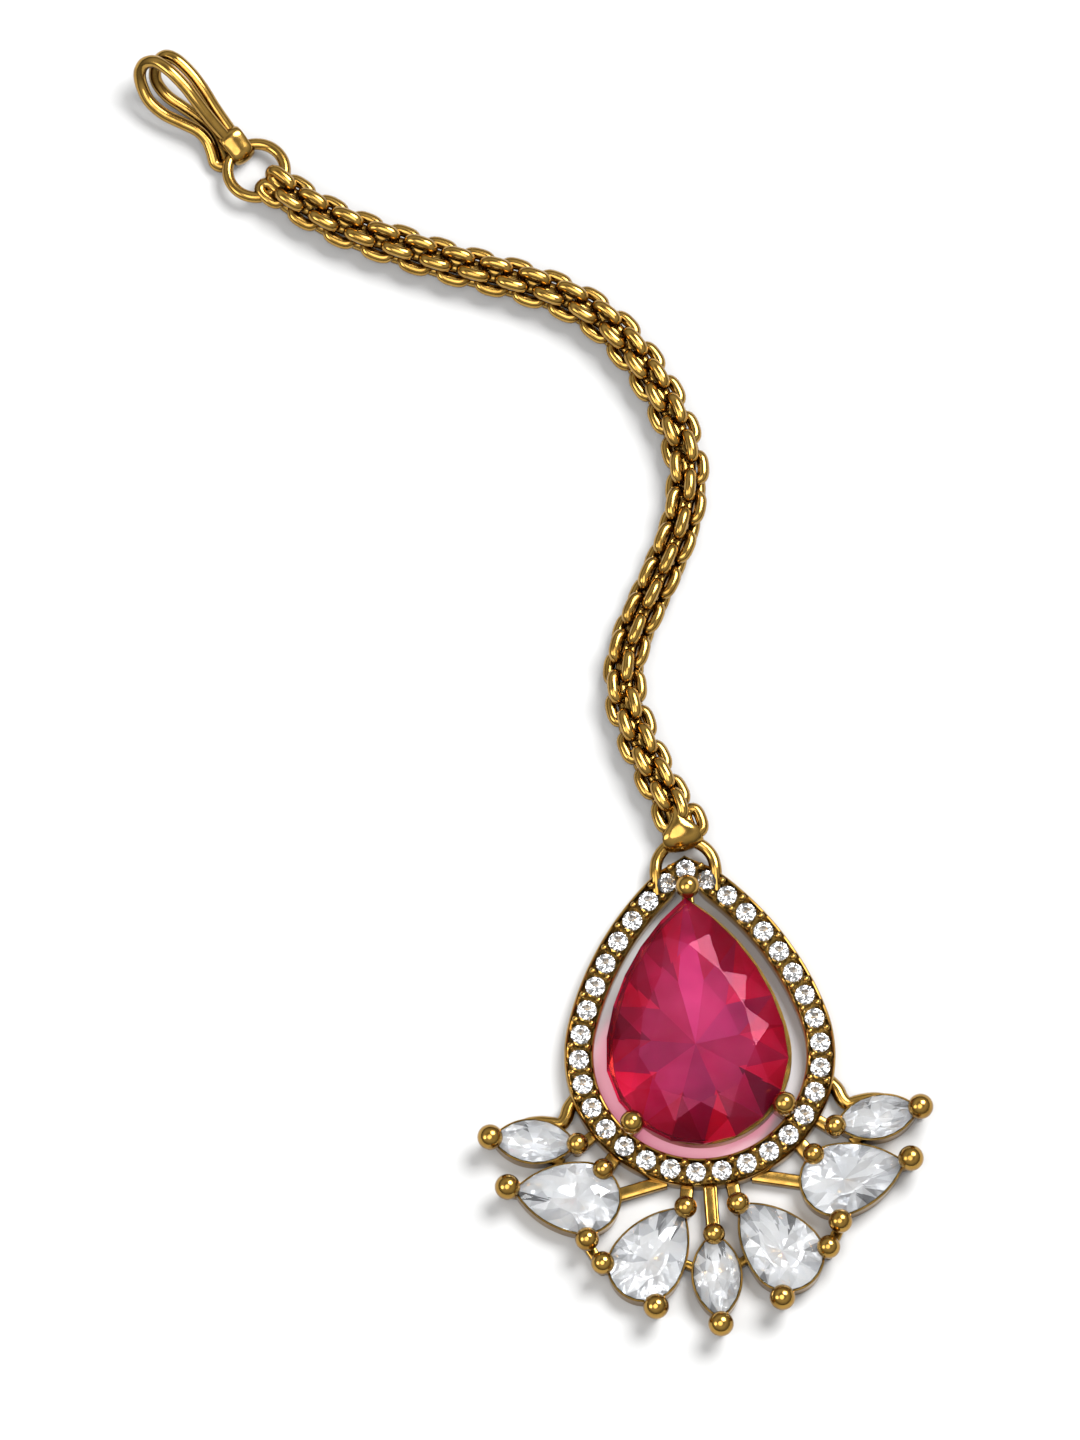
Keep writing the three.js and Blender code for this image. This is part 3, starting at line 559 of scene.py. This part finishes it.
def scatter(name, points, turns, source, material):
    # A copy of source on each point, turned by the "turn" attribute, realized and joined
    mesh = bpy.data.meshes.new(name + "Points")
    mesh.from_pydata([tuple(p) for p in points], [], [])
    turnData = mesh.attributes.new("turn", "FLOAT_VECTOR", "POINT")
    turnData.data.foreach_set("vector", [c for t in turns for c in t])
    host = bpy.data.objects.new(name, mesh)
    bpy.context.scene.collection.objects.link(host)
    tree = bpy.data.node_groups.new(name + "Tree", "GeometryNodeTree")
    tree.interface.new_socket("Geometry", in_out="INPUT", socket_type="NodeSocketGeometry")
    sizeSocket = tree.interface.new_socket("size", in_out="INPUT", socket_type="NodeSocketFloat")
    sourceSocket = tree.interface.new_socket("source", in_out="INPUT", socket_type="NodeSocketObject")
    lookSocket = tree.interface.new_socket("look", in_out="INPUT", socket_type="NodeSocketMaterial")
    tree.interface.new_socket("Geometry", in_out="OUTPUT", socket_type="NodeSocketGeometry")
    nodes, links = tree.nodes, tree.links
    start, end = nodes.new("NodeGroupInput"), nodes.new("NodeGroupOutput")
    info = nodes.new("GeometryNodeObjectInfo")
    spread = nodes.new("GeometryNodeInstanceOnPoints")
    turn = nodes.new("GeometryNodeInputNamedAttribute")
    turn.data_type = "FLOAT_VECTOR"
    turn.inputs["Name"].default_value = "turn"
    asTurn = nodes.new("FunctionNodeEulerToRotation")
    real = nodes.new("GeometryNodeRealizeInstances")
    paint = nodes.new("GeometryNodeSetMaterial")
    links.new(start.outputs["Geometry"], spread.inputs["Points"])
    links.new(start.outputs["source"], info.inputs["Object"])
    links.new(info.outputs["Geometry"], spread.inputs["Instance"])
    links.new(turn.outputs["Attribute"], asTurn.inputs["Euler"])
    links.new(asTurn.outputs["Rotation"], spread.inputs["Rotation"])
    links.new(start.outputs["size"], spread.inputs["Scale"])
    links.new(spread.outputs["Instances"], real.inputs["Geometry"])
    links.new(real.outputs["Geometry"], paint.inputs["Geometry"])
    links.new(start.outputs["look"], paint.inputs["Material"])
    links.new(paint.outputs["Geometry"], end.inputs["Geometry"])
    modifier = host.modifiers.new("scatter", "NODES")
    modifier.node_group = tree
    modifier[sizeSocket.identifier] = 1.0
    modifier[sourceSocket.identifier] = source
    modifier[lookSocket.identifier] = material
    done = bpy.data.meshes.new_from_object(host.evaluated_get(bpy.context.evaluated_depsgraph_get()))
    host.modifiers.clear()
    host.data = done
    if not done.materials:
        done.materials.append(material)
    bpy.data.objects.remove(source)
    return host


haloDress = {"stones": 33, "radius": 0.98, "z": 1.98, "bead": 0.36, "beadOut": 0.80, "beadZ": 2.30,
             "tipY": 19.175, "turn": 1.7}
roundCut = {"z": 0, "girdle": 0.08, "crown": 0.42, "table": 0.5, "pavilion": 0.8, "waist": 0.45,
            "belly": 1.08, "points": 16}


def haloSpots(count, shift):
    # Places along the halo's centre line with their outward directions
    spots = []
    for i in range(count):
        s = 2 * (i + shift) / count
        right = s <= 1
        p, a = pearPoint(pearHalo, s if right else 2 - s)
        if abs(s - 1) < 0.02:
            a = math.pi / 2
            p.y = haloDress["tipY"]
        if not right:
            p.x, a = -p.x, math.pi - a
        spots.append((p, a))
    return spots


wedge = 2 * math.pi / roundCut["points"]
circle = [Vector((math.cos(wedge * k), math.sin(wedge * k))) * haloDress["radius"]
          for k in range(roundCut["points"])]
roundShell = cutShell(circle, Vector((0, 0)), roundCut, lambda x, y, z: Vector((x, y, z)) * mm)
roundSource = stoneObject("roundSource", roundShell, fanTones, 12)
spots = haloSpots(haloDress["stones"], 0.5)
smallStones = scatter("haloStones", [at(p.x, p.y, haloDress["z"]) for p, a in spots],
                      [(0, 0, haloDress["turn"] * i) for i in range(len(spots))], roundSource, crystal)
rideAs(smallStones, "crystal", *["halo_stone_%02d" % (i + 1) for i in range(haloDress["stones"])])
beads = []
for p, a in haloSpots(haloDress["stones"], 0.0):
    for reach in (haloDress["beadOut"], -haloDress["beadOut"]):
        beads.append(at(p.x + reach * math.cos(a), p.y + reach * math.sin(a), haloDress["beadZ"]))
beadSource = meshObject("beadSource", [ballShell(Vector((0, 0, 0)), haloDress["bead"] * mm, 8, 12)])
haloBeads = scatter("haloBeads", beads, [(0, 0, 0)] * len(beads), beadSource, gold)
rideAs(haloBeads, "gold")
print("halo stones and beads set")

bandShape = {
    "outer": [(1.38, 0.0), (1.45, 0.5), (1.45, 1.85), (1.40, 2.08), (1.30, 2.2), (1.18, 2.12), (1.10, 1.6),
              (1.02, 1.05)],
    "points": 200,
    "tipSoft": 0.09,
    "tipShare": 0.78,
    "half": 1.125,
}
loopShape = {"radius": 2.95, "wire": 0.62, "y": 19.225, "z": 1.75}
mainSetting = {
    "railOuter": -0.02,
    "railInner": -0.6,
    "railLow": 2.2,
    "railHigh": 3.7,
    "prongs": [(7.84, -5.95), (-7.2, -6.73)],
    "post": 0.52,
    "ball": 1.2,
    "z": 4.9,
    "footFrom": 0.86,
    "footTo": 1.06,
    "footWide": 1.15,
    "footLow": 0.5,
    "footHigh": 2.6,
    "clawY": 16.68,
    "claw": 0.72,
    "clawWay": [(1.1, 0.8), (0.95, 2.2), (0.5, 3.6)],
    "clawBar": [(-2.4, 1.2), 1.2, 2.0, 2.9],
    "railPoints": 96,
    "railTip": 0.06,
}
fanSetting = {
    "rimOuter": 0.22,
    "rimInner": 0.02,
    "rimLow": 1.15,
    "rimHigh": 2.25,
    "wallOuter": 0.12,
    "wallInner": -0.62,
    "post": 0.58,
    "z": 3.1,
    "toe": 0.94,
    "strutTop": 1.3,
    "pearWall": 1.78,
    "marquiseWall": 1.6,
    "points": 64,
    "edge": -0.35,
    "edgePoints": 24,
}
centrePost = {"bars": [(0, 1.2, 1.6), (-0.52, 0.36, 1.72), (0.52, 0.36, 1.72)], "soft": 0.16}
sideArm = {
    "route": [(12.4, -2.9, 0.9), (13.2, -3.9, 1.0), (13.6, -4.9, 1.0), (14.2, -5.5, 1.0), (15.1, -5.35, 1.0),
              (16.2, -5.2, 1.0), (17.4, -5.3, 0.95), (18.3, -5.8, 0.9)],
    "wire": 0.72,
    "points": 30,
}
wireSides = 14


def wallShell(ringAt, outer, inner, low, high, lip=0.07):
    # A thin upright wall that follows an outline, with eased edges
    profile = [(outer, low), (outer, high - lip), (outer - lip, high),
               (inner + lip, high), (inner, high - lip), (inner, low)]
    return loopShell([[at(p.x, p.y, z) for p in ringAt(offset)] for offset, z in profile])


def haloShells():
    profile = bandShape["outer"] + [(-offset, z) for offset, z in reversed(bandShape["outer"])]
    rings = []
    for offset, z in profile:
        ring = pearRing(pearHalo, offset, bandShape["points"], bandShape["tipSoft"], bandShape["tipShare"])
        rings.append([at(p.x, p.y, z) for p in ring])
    r, y, z = loopShape["radius"], loopShape["y"], loopShape["z"]
    arc = [(r, y - 2.2, z - 0.5), (r, y - 1.0, z - 0.2)]
    arc += [(r * math.cos(math.radians(a)), y + r * math.sin(math.radians(a)), z) for a in range(0, 181, 20)]
    arc += [(-r, y - 1.0, z - 0.2), (-r, y - 2.2, z - 0.5)]
    loop = [at(*p) for p in smoothPath(arc, 60)]
    return [loopShell(rings), tubeShell(loop, loopShape["wire"] * mm, wireSides)]


def mainShells():
    look = mainSetting

    def ringAt(offset):
        return pearRing(pearMain, offset, look["railPoints"], look["railTip"])

    made = [wallShell(ringAt, look["railOuter"], look["railInner"], look["railLow"], look["railHigh"])]
    for x, y in look["prongs"]:
        made.append(tubeShell([at(x, y, 0.2), at(x, y, look["z"])], look["post"] * mm, wireSides))
        made.append(ballShell(at(x, y, look["z"]), look["ball"] * mm))
        foot = [(x * look[side], y * look[side]) for side in ("footFrom", "footTo")]
        made.append(barShell(*foot, look["footWide"], look["footLow"], look["footHigh"]))
    y = look["clawY"]
    claw = [at(0, y + back, z) for back, z in look["clawWay"]] + [at(0, y, look["z"])]
    made.append(tubeShell(smoothPath(claw, 16), look["claw"] * mm, wireSides))
    made.append(ballShell(at(0, y, look["z"]), look["ball"] * mm))
    (start, end), wide, low, high = look["clawBar"]
    made.append(barShell((0, y + start), (0, y + end), wide, low, high))
    return made


def settingShells(row):
    look = fanSetting
    high = look["marquiseWall" if "wide" in row else "pearWall"]

    def ringAt(offset):
        return fanRing(row, offset, look["points"])

    made = [wallShell(ringAt, look["wallOuter"], look["wallInner"], 0.0, high),
            wallShell(ringAt, look["rimOuter"], look["rimInner"], look["rimLow"], look["rimHigh"], 0.04)]
    edge = fanRing(row, look["edge"], look["edgePoints"])
    for (across, along), size in zip(row["balls"], row["sizes"]):
        spot = fanSpot(row, across, along)
        head = at(spot.x, spot.y, look["z"])
        made.append(tubeShell([at(spot.x, spot.y, 0), head], look["post"] * mm, wireSides))
        made.append(ballShell(head, size * mm))
        near = min(edge, key=lambda p: (p - spot).length)
        made.append(barShell(spot, near, look["toe"], 0.0, look["strutTop"]))
    return made


def haloSpot(angle):
    a, reach = math.radians(angle), pearHalo["radius"] + bandShape["half"]
    return Vector((reach * math.cos(a), pearHalo["y"] + reach * math.sin(a)))


def mirrored(p):
    return Vector((-p.x, p.y))


def strutShells():
    named = ("marquise_side_right", "pear_upper_right", "pear_lower_right", "marquise_centre")
    side, upper, lower, centre = [fanStones[name] for name in named]
    runs = [
        (haloSpot(-33), fanSpot(side, 0.05, -1.07), 1.2),
        (haloSpot(-46), fanSpot(upper, -0.84, -0.45), 1.5),
        (haloSpot(-70.7), fanSpot(upper, -0.2, -0.75), 1.35),
        (haloSpot(-80.3), fanSpot(lower, -0.1, 1.98), 1.35),
        (fanSpot(upper, 1.22, -0.24), fanSpot(lower, 1, -0.62), 1.1),
        (fanSpot(side, 0.3, -0.7), fanSpot(upper, -0.59, 1.02), 0.9),
        (fanSpot(centre, 0.46, 0.28), fanSpot(lower, -0.6, 0.68), 0.9),
    ]
    made = []
    for start, end, wide in runs:
        made.append(barShell(start, end, wide, 0, fanSetting["strutTop"]))
        made.append(barShell(mirrored(start), mirrored(end), wide, 0, fanSetting["strutTop"]))
    top, foot = haloSpot(-90).y, fanSpot(centre, *centre["balls"][0]).y
    for x, wide, high in centrePost["bars"]:
        made.append(barShell((x, top), (x, foot), wide, 0, high, centrePost["soft"]))
    for flip in (1, -1):
        path = smoothPath([(flip * x, y, z) for x, y, z in sideArm["route"]], sideArm["points"])
        made.append(tubeShell([at(*p) for p in path], sideArm["wire"] * mm))
    return made


shells = haloShells() + mainShells() + strutShells()
for row in fanStones.values():
    shells += settingShells(row)
goldwork = meshObject("goldwork", shells)
keepEdges(goldwork, 35)
goldwork.data.materials.append(gold)
rideAs(goldwork, "gold", "pendant_frame")
print("goldwork made")

loopTop = loopShape["y"] + loopShape["radius"]
route = [
    (-0.58, 2.35), (-1.05, 3.95), (-2.1, 6.45), (-3.1, 8.95), (-3.9, 11.45), (-4.45, 14.05),
    (-4.6, 16.45), (-4.2, 18.95), (-3.25, 21.45), (-1.95, 23.95), (-0.6, 26.45), (0.75, 29.05),
    (2, 31.75), (2.95, 35.15), (3.15, 38.85), (2.3, 42.65), (0.9, 46.25), (-0.95, 49.65),
    (-3.2, 52.75), (-6.1, 55.25), (-9.3, 57.05), (-12.9, 58.55), (-16.6, 59.85), (-20.3, 61.25),
    (-24, 62.85), (-27.5, 64.45), (-30.8, 66.35), (-34, 68.75), (-36, 70.65),
]
chainShape = {
    "pitch": 3.93,
    "rows": 6,
    "middle": 1.0,
    "halfLong": 1.23,
    "halfHigh": 0.66,
    "square": 0.75,
    "wire": 0.60,
    "z": 2.24,
    "rolls": [(0, 0), (9, 0), (17, 20), (34, 22), (42, 2), (100, 0)],
    "phase": 2.35,
    "start": 0.9,
    "flankStart": -1.05,
    "flareFrom": 0.4,
    "flareOut": 0.42,
    "flareUp": 0.22,
    "end": 0.1,
}
fine = smoothPath([(x, loopTop + y, 0) for x, y in route], 1600)
lengths = [0.0]
for a, b in zip(fine, fine[1:]):
    lengths.append(lengths[-1] + (b - a).length)


def spotAt(s):
    # Place and direction at length s of the route, straight on beyond its ends
    if s <= 0 or s >= lengths[-1]:
        first, last = (fine[0], fine[8]) if s <= 0 else (fine[-9], fine[-1])
        along = (last - first).normalized()
        return (fine[0] + along * s if s <= 0 else fine[-1] + along * (s - lengths[-1])), along
    low, high = 0, len(lengths) - 1
    while high - low > 1:
        m = (low + high) // 2
        low, high = (m, high) if lengths[m] <= s else (low, m)
    f = (s - lengths[low]) / max(lengths[high] - lengths[low], 1e-9)
    a, b = fine[max(low - 8, 0)], fine[min(high + 8, len(fine) - 1)]
    return fine[low].lerp(fine[high], f), (b - a).normalized()


def rollAt(s):
    table = chainShape["rolls"]
    for (s0, r0), (s1, r1) in zip(table, table[1:]):
        if s <= s1:
            f = min(max((s - s0) / (s1 - s0), 0), 1)
            return r0 + (r1 - r0) * f * f * (3 - 2 * f)
    return table[-1][1]


points, turns = [], []
for row in range(chainShape["rows"]):
    lean = 30 + 60 * row
    flank = abs((lean + 180) % 360 - 180) > 60
    first = chainShape["flankStart" if flank else "start"]
    s = chainShape["phase"] + chainShape["pitch"] * (0.5 if row % 2 else 0) - chainShape["pitch"]
    while s < first - 0.8:
        s += chainShape["pitch"]
    while s < lengths[-1] + chainShape["end"] - chainShape["halfLong"]:
        middle, along = spotAt(max(s, first))
        side = Vector((0, 0, 1)).cross(along)
        flare = max(0.0, chainShape["flareFrom"] - max(s, first))
        t = math.radians(lean + rollAt(s))
        outward = Vector((0, 0, 1)) * math.cos(t) + side * math.sin(t)
        across = along.cross(outward)
        centre = middle + outward * (chainShape["middle"] + flare * chainShape["flareOut"])
        centre.z += flare * chainShape["flareUp"]
        points.append(at(centre.x, centre.y, chainShape["z"] + centre.z))
        turns.append(tuple(Matrix((along, outward, across)).transposed().to_euler()))
        s += chainShape["pitch"]
around = [2 * math.pi * i / 26 for i in range(26)]
oval = []
for a in around:
    x, y = (math.copysign(abs(f) ** chainShape["square"], f) for f in (math.cos(a), math.sin(a)))
    oval.append(Vector((chainShape["halfLong"] * x, chainShape["halfHigh"] * y, 0)) * mm)
linkSource = meshObject("linkSource", [tubeShell(oval, chainShape["wire"] * mm, 12, closed=True)])
chain = scatter("wovenChain", points, turns, linkSource, gold)
rideAs(chain, "gold", "chain")
print("chain of", len(points), "rings")

bailShape = {"x": -0.35, "y": loopTop + 1.65, "z": 1.9, "turn": 10, "long": 2.4, "high": 1.45, "narrow": 0.55,
             "flare": 1.45, "stations": 48}
rows = []
t = math.radians(bailShape["turn"])
section = ((-1, -0.1), (-0.9, 0.12), (-0.5, 0.3), (0, 0.4), (0.5, 0.3), (0.9, 0.12), (1, -0.1), (0.5, -0.18),
           (-0.5, -0.18))
for i in range(bailShape["stations"]):
    a = 2 * math.pi * i / bailShape["stations"]
    y, z = bailShape["long"] * math.cos(a), bailShape["high"] * math.sin(a)
    w = min(max(0.35 - y / bailShape["long"], 0.0), 1.0)
    half = bailShape["narrow"] + bailShape["flare"] * w * w * (3 - 2 * w)
    normal = Vector((0, math.cos(a) / bailShape["long"], math.sin(a) / bailShape["high"])).normalized()
    ring = []
    for c, out in section:
        p = Vector((c * half, y, z)) + normal * out
        px, py = p.x * math.cos(t) - p.y * math.sin(t), p.x * math.sin(t) + p.y * math.cos(t)
        ring.append(at(bailShape["x"] + px, bailShape["y"] + py, bailShape["z"] + p.z))
    rows.append(ring)
bail = meshObject("bailStrap", [loopShell(rows)])
keepEdges(bail, 50)
bail.data.materials.append(gold)
rideAs(bail, "gold", "bail")

ringShape = {"place": (-37.1, loopTop + 71.65, 1.75), "radius": 2.85, "wire": 0.59, "tilt": -6, "points": 64}
tilt = math.radians(ringShape["tilt"])
path = []
for i in range(ringShape["points"]):
    a = 2 * math.pi * i / ringShape["points"]
    x, y = ringShape["radius"] * math.cos(a), ringShape["radius"] * math.sin(a)
    x0, y0, z0 = ringShape["place"]
    path.append(at(x0 + x, y0 + y * math.cos(tilt), z0 + y * math.sin(tilt)))
jumpRing = meshObject("jumpRingWire", [tubeShell(path, ringShape["wire"] * mm, 16, closed=True)])
jumpRing.data.materials.append(gold)
rideAs(jumpRing, "gold", "jump_ring")

hookPath = [
    (-2.75, 3.4, 2.55), (-4.15, 5, 3.75), (-5.45, 6.7, 4.8), (-6.5, 8.15, 5.45),
    (-7.9, 9.75, 5.8), (-9.2, 10.85, 5.5), (-10.3, 11, 4.7), (-10.85, 10.35, 3.8),
    (-10.75, 9.3, 2.9), (-10.1, 7.8, 2.25), (-8.75, 6.45, 1.95), (-7, 5.4, 1.9),
    (-5.5, 4.5, 1.8), (-4.65, 3.5, 1.5), (-4.25, 2.3, 1.15), (-4, 1.3, 0.85),
    (-3.25, 0.95, 0.82), (-2.85, 1.6, 0.76), (-3.25, 2.9, 0.75), (-4.1, 4.7, 0.76),
    (-5.4, 6.2, 0.79), (-6.85, 7.4, 0.86), (-8.1, 8.35, 1.15), (-8.95, 9.3, 1.65),
    (-9.35, 10.2, 2.45), (-9.1, 11.2, 3.5), (-8.3, 11.7, 4.4), (-7.2, 11.2, 4.75),
    (-5.85, 9.8, 4.45), (-4.75, 8.2, 3.95), (-3.65, 6.3, 3.1), (-2.2, 4.05, 2.1),
]
hookShape = {"wire": 0.64, "toHook": 124, "outer": 1.35, "bore": 0.8, "wide": 2.4, "farEnd": (1.3, 0.9, 0.9)}
ringX, ringY = ringShape["place"][:2]
strand = [at(ringX + p.x, ringY + p.y, p.z) for p in smoothPath(hookPath, 220)]
toHook = math.radians(hookShape["toHook"])
out = Vector((math.cos(toHook), math.sin(toHook), 0))
wide = Vector((-out.y, out.x, 0))
seat = Vector(ringShape["place"]) + out * (ringShape["radius"] - 0.08) - Vector((0, 0, 0.28))
farOut, farUp, farRound = hookShape["farEnd"]


def strapReach(a):
    # How far the strap's side view reaches in direction a: round the ring's wire, and out over the strands
    best = 0.0
    for i in range(25):
        f = i / 24
        x, z, r = farOut * f, farUp * f, hookShape["outer"] * (1 - f) + farRound * f
        on = x * math.cos(a) + z * math.sin(a)
        under = r * r - x * x - z * z + on * on
        if under > 0:
            best = max(best, on + math.sqrt(under))
    return best


rows = []
half, bore = hookShape["wide"] / 2, hookShape["bore"]
for i in range(56):
    a = 2 * math.pi * i / 56
    reach, full = out * math.cos(a) + Vector((0, 0, 1)) * math.sin(a), strapReach(a)
    dome = [math.radians(t) for t in range(-90, 91, 15)]
    section = [(full - 0.42 + 0.45 * math.cos(t), half * math.sin(t)) for t in dome]
    rows.append([at(*(seat + reach * r + wide * w)) for r, w in [(bore, -half), *section, (bore, half)]])
hook = meshObject("hookWire", [tubeShell(strand, hookShape["wire"] * mm, 14), loopShell(rows)])
keepEdges(hook, 50)
hook.data.materials.append(gold)
rideAs(hook, "gold", "hair_hook")
print("bail, ring and hook made")

stageLook = {"size": 1.5, "albedo": 0.50, "below": 0.00002}
size = stageLook["size"]
floorMesh = bpy.data.meshes.new("floor")
corners = [(-size, -size, 0), (size, -size, 0), (size, size, 0), (-size, size, 0)]
floorMesh.from_pydata(corners, [], [(0, 1, 2, 3)])
floor = bpy.data.objects.new("floor", floorMesh)
bpy.context.scene.collection.objects.link(floor)
floor.location.z = frameLow.z - stageLook["below"]
white, nodes, links, shader = newMaterial("whiteTable")
shader.inputs["Base Color"].default_value = (*[stageLook["albedo"]] * 3, 1)
shader.inputs["Roughness"].default_value = 0.9
shader.inputs["Specular IOR Level"].default_value = 0.1
floorMesh.materials.append(white)

# stops: height of the sky's direction from -1 to 1 as a share, and its grey
roomLook = {
    "strength": 1.0,
    "stops": [(0.0, 0.04), (0.52, 0.06), (0.70, 0.50), (0.86, 0.75), (0.95, 0.31), (1.0, 0.25)],
}
world = bpy.data.worlds.new("softRoom")
bpy.context.scene.world = world
world.use_nodes = True
nodes, links = world.node_tree.nodes, world.node_tree.links
nodes.clear()
worldOut = nodes.new("ShaderNodeOutputWorld")
back = nodes.new("ShaderNodeBackground")
links.new(back.outputs["Background"], worldOut.inputs["Surface"])
coords = nodes.new("ShaderNodeTexCoord")
split = nodes.new("ShaderNodeSeparateXYZ")
links.new(coords.outputs["Generated"], split.inputs["Vector"])
height = ranged(nodes, links, split.outputs["Z"], -1.0, 1.0)
ramp = nodes.new("ShaderNodeValToRGB")
first, *middle, last = roomLook["stops"]
for element, (place, grey) in zip(ramp.color_ramp.elements, (first, last)):
    element.position = place
    element.color = (grey, grey, grey, 1)
for place, grey in middle:
    ramp.color_ramp.elements.new(place).color = (grey, grey, grey * 0.99, 1)
links.new(height, ramp.inputs["Fac"])
links.new(ramp.outputs["Color"], back.inputs["Color"])
back.inputs["Strength"].default_value = roomLook["strength"]

lights = {
    "keyLight": {"place": (0.35, 0.29, 0.68), "size": 0.48, "power": 11.2},
    "topLight": {"place": (-0.08, -0.22, 0.78), "size": 0.60, "power": 3.2},
    "sideLight": {"place": (-0.55, -0.15, 0.45), "size": 0.35, "power": 1.5},
}
target = at(-13.18, 35.37, 2.2)
# The tinted light that the large stone lets through to the table
glow = {"place": (-1.5, -1.5, 0.4), "size": 19.0, "power": 0.0009, "colour": (1.0, 0.20, 0.36)}


def diskLamp(name, size, power):
    data = bpy.data.lights.new(name, "AREA")
    data.shape = "DISK"
    data.size = size
    data.energy = power
    lamp = bpy.data.objects.new(name, data)
    bpy.context.scene.collection.objects.link(lamp)
    return lamp


for name, row in lights.items():
    lamp = diskLamp(name, row["size"], row["power"])
    lamp.location = target + Vector(row["place"])
    lamp.rotation_euler = (-Vector(row["place"])).to_track_quat("-Z", "Y").to_euler()
lamp = diskLamp("stoneGlow", glow["size"] * mm, glow["power"])
lamp.data.color = glow["colour"]
lamp.location = at(*glow["place"])

view = {
    "azimuth": -4.2,
    "elevation": 75,
    "distance": 2.5,
    "pixelsPerMm": 10.14,
    "photoWide": 1080,
    "sensor": 36,
}
a, e = math.radians(view["azimuth"]), math.radians(view["elevation"])
backward = Vector((math.sin(a) * math.cos(e), -math.cos(a) * math.cos(e), math.sin(e)))
upward = Vector((-math.sin(a) * math.sin(e), math.cos(a) * math.sin(e), math.cos(e)))
data = bpy.data.cameras.new("camera")
data.sensor_width = view["sensor"]
data.sensor_fit = "HORIZONTAL"
data.lens = view["pixelsPerMm"] / mm * view["distance"] * view["sensor"] / view["photoWide"]
data.clip_start, data.clip_end = 0.05, 20
camera = bpy.data.objects.new("camera", data)
bpy.context.scene.collection.objects.link(camera)
facing = Matrix((upward.cross(backward), upward, backward)).transposed().to_4x4()
camera.matrix_world = Matrix.Translation(target + backward * view["distance"]) @ facing
bpy.context.scene.camera = camera
bpy.context.scene.view_settings.view_transform = "Standard"

print("stage and camera set")
